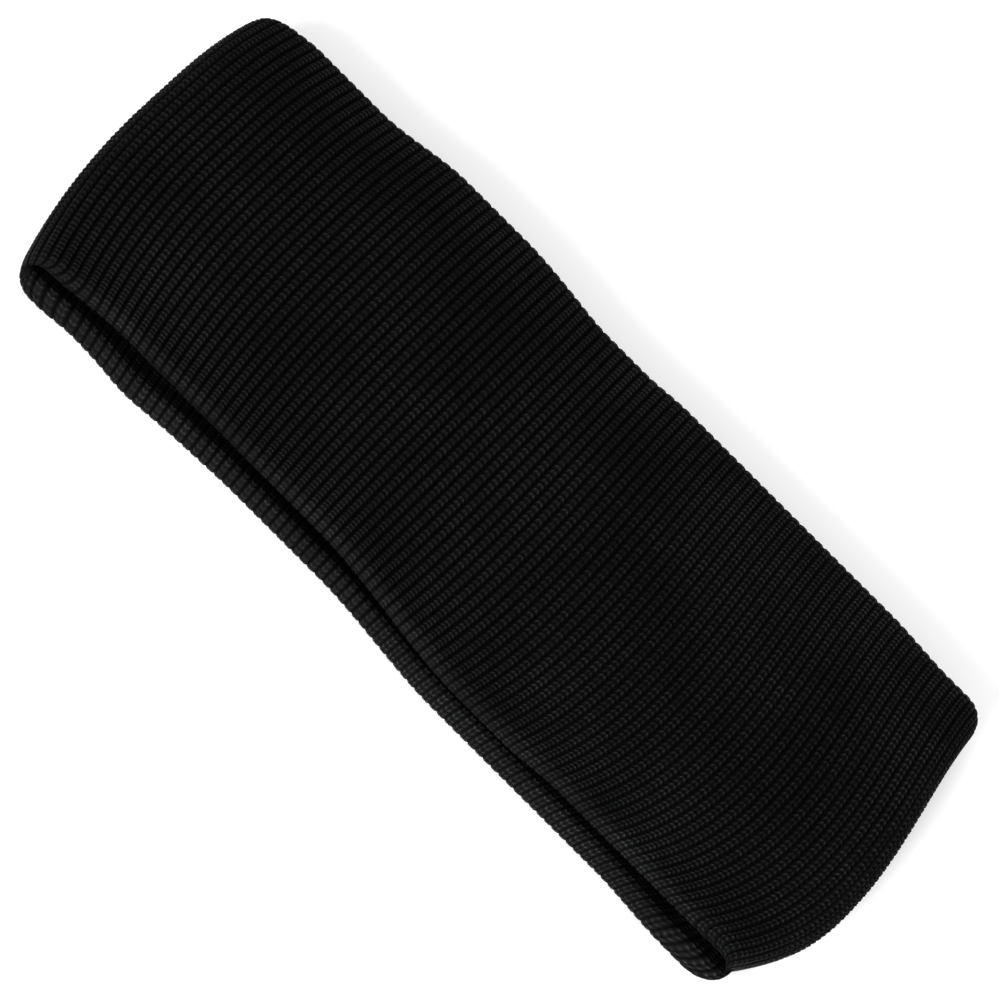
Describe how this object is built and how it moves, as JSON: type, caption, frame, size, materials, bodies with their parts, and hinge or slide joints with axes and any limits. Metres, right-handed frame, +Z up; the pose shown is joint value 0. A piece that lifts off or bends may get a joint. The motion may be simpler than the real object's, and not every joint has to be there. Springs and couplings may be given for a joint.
{
  "type": "wristband",
  "caption": "Rib-knit sweat wristband laid flat: a folded-over elastic tube with soft rims and folded ends that opens into a ring.",
  "frame": {"origin": "bottom centre of the band laid flat, under the middle of its back", "axes": "+X along the flat loop, Y along the ribs from rim to rim, +Z up through both layers"},
  "size_m": [0.0834, 0.031, 0.0058],
  "materials": {
    "knit": "matte black one-by-one rib knit",
    "elastic": "covered elastic threads, dark grey",
    "seam_thread": "black linking thread, chain stitch"
  },
  "bodies": {
    "back_3": {"knit_back_3": "knit", "elastic_back_3": "elastic", "seam_back_3": "seam_thread"},
    "back_2": {"knit_back_2": "knit", "elastic_back_2": "elastic", "seam_back_2": "seam_thread"},
    "back_1": {"knit_back_1": "knit", "elastic_back_1": "elastic", "seam_back_1": "seam_thread"},
    "left_fold_1": {"knit_left_fold_1": "knit", "elastic_left_fold_1": "elastic", "seam_left_fold_1": "seam_thread"},
    "left_fold_2": {"knit_left_fold_2": "knit", "elastic_left_fold_2": "elastic", "seam_left_fold_2": "seam_thread"},
    "left_fold_3": {"knit_left_fold_3": "knit", "elastic_left_fold_3": "elastic", "seam_left_fold_3": "seam_thread"},
    "front_1": {"knit_front_1": "knit", "elastic_front_1": "elastic", "seam_front_1": "seam_thread"},
    "front_2": {"knit_front_2": "knit", "elastic_front_2": "elastic", "seam_front_2": "seam_thread"},
    "front_3": {"knit_front_3": "knit", "elastic_front_3": "elastic", "seam_front_3": "seam_thread"},
    "front_4": {"knit_front_4": "knit", "elastic_front_4": "elastic", "seam_front_4": "seam_thread"},
    "front_5": {"knit_front_5": "knit", "elastic_front_5": "elastic", "seam_front_5": "seam_thread"},
    "back_4": {"knit_back_4": "knit", "elastic_back_4": "elastic", "seam_back_4": "seam_thread"},
    "back_5": {"knit_back_5": "knit", "elastic_back_5": "elastic", "seam_back_5": "seam_thread"},
    "right_fold_1": {"knit_right_fold_1": "knit", "elastic_right_fold_1": "elastic", "seam_right_fold_1": "seam_thread"},
    "right_fold_2": {"knit_right_fold_2": "knit", "elastic_right_fold_2": "elastic", "seam_right_fold_2": "seam_thread"},
    "right_fold_3": {"knit_right_fold_3": "knit", "elastic_right_fold_3": "elastic", "seam_right_fold_3": "seam_thread"}
  },
  "joints": [
    {"name": "open_back_2", "type": "hinge", "parent": "back_3", "child": "back_2", "pos_m": [-0.00777, 0, 0.0025], "axis": [0, 1, 0], "range_deg": [0, 32.38]},
    {"name": "open_back_1", "type": "hinge", "parent": "back_2", "child": "back_1", "pos_m": [-0.02331, 0, 0.0025], "axis": [0, 1, 0], "range_deg": [0, 32.38]},
    {"name": "open_left_fold_1", "type": "hinge", "parent": "back_1", "child": "left_fold_1", "pos_m": [-0.03885, 0, 0], "axis": [0, 1, 0], "range_deg": [-10.81, 0]},
    {"name": "open_left_fold_2", "type": "hinge", "parent": "left_fold_1", "child": "left_fold_2", "pos_m": [-0.04136, 0, 0.00145], "axis": [0, 1, 0], "range_deg": [-53.98, 0]},
    {"name": "open_left_fold_3", "type": "hinge", "parent": "left_fold_2", "child": "left_fold_3", "pos_m": [-0.04136, 0, 0.00435], "axis": [0, 1, 0], "range_deg": [-53.98, 0]},
    {"name": "open_front_1", "type": "hinge", "parent": "left_fold_3", "child": "front_1", "pos_m": [-0.03885, 0, 0.0058], "axis": [0, 1, 0], "range_deg": [-10.81, 0]},
    {"name": "open_front_2", "type": "hinge", "parent": "front_1", "child": "front_2", "pos_m": [-0.02331, 0, 0.0033], "axis": [0, 1, 0], "range_deg": [0, 32.38]},
    {"name": "open_front_3", "type": "hinge", "parent": "front_2", "child": "front_3", "pos_m": [-0.00777, 0, 0.0033], "axis": [0, 1, 0], "range_deg": [0, 32.38]},
    {"name": "open_front_4", "type": "hinge", "parent": "front_3", "child": "front_4", "pos_m": [0.00777, 0, 0.0033], "axis": [0, 1, 0], "range_deg": [0, 32.38]},
    {"name": "open_front_5", "type": "hinge", "parent": "front_4", "child": "front_5", "pos_m": [0.02331, 0, 0.0033], "axis": [0, 1, 0], "range_deg": [0, 32.38]},
    {"name": "open_back_4", "type": "hinge", "parent": "back_3", "child": "back_4", "pos_m": [0.00777, 0, 0.0025], "axis": [0, -1, 0], "range_deg": [0, 32.38]},
    {"name": "open_back_5", "type": "hinge", "parent": "back_4", "child": "back_5", "pos_m": [0.02331, 0, 0.0025], "axis": [0, -1, 0], "range_deg": [0, 32.38]},
    {"name": "open_right_fold_1", "type": "hinge", "parent": "back_5", "child": "right_fold_1", "pos_m": [0.03885, 0, 0], "axis": [0, -1, 0], "range_deg": [-10.81, 0]},
    {"name": "open_right_fold_2", "type": "hinge", "parent": "right_fold_1", "child": "right_fold_2", "pos_m": [0.04136, 0, 0.00145], "axis": [0, -1, 0], "range_deg": [-53.98, 0]},
    {"name": "open_right_fold_3", "type": "hinge", "parent": "right_fold_2", "child": "right_fold_3", "pos_m": [0.04136, 0, 0.00435], "axis": [0, -1, 0], "range_deg": [-53.98, 0]}
  ],
  "couplings": [
    {"joint": "open_back_2", "follows": "open_back_1", "ratio": 1},
    {"joint": "open_left_fold_1", "follows": "open_back_1", "ratio": -0.3333},
    {"joint": "open_left_fold_2", "follows": "open_back_1", "ratio": -1.6667},
    {"joint": "open_left_fold_3", "follows": "open_back_1", "ratio": -1.6667},
    {"joint": "open_front_1", "follows": "open_back_1", "ratio": -0.3333},
    {"joint": "open_front_2", "follows": "open_back_1", "ratio": 1},
    {"joint": "open_front_3", "follows": "open_back_1", "ratio": 1},
    {"joint": "open_front_4", "follows": "open_back_1", "ratio": 1},
    {"joint": "open_front_5", "follows": "open_back_1", "ratio": 1},
    {"joint": "open_back_4", "follows": "open_back_1", "ratio": 1},
    {"joint": "open_back_5", "follows": "open_back_1", "ratio": 1},
    {"joint": "open_right_fold_1", "follows": "open_back_1", "ratio": -0.3333},
    {"joint": "open_right_fold_2", "follows": "open_back_1", "ratio": -1.6667},
    {"joint": "open_right_fold_3", "follows": "open_back_1", "ratio": -1.6667}
  ]
}
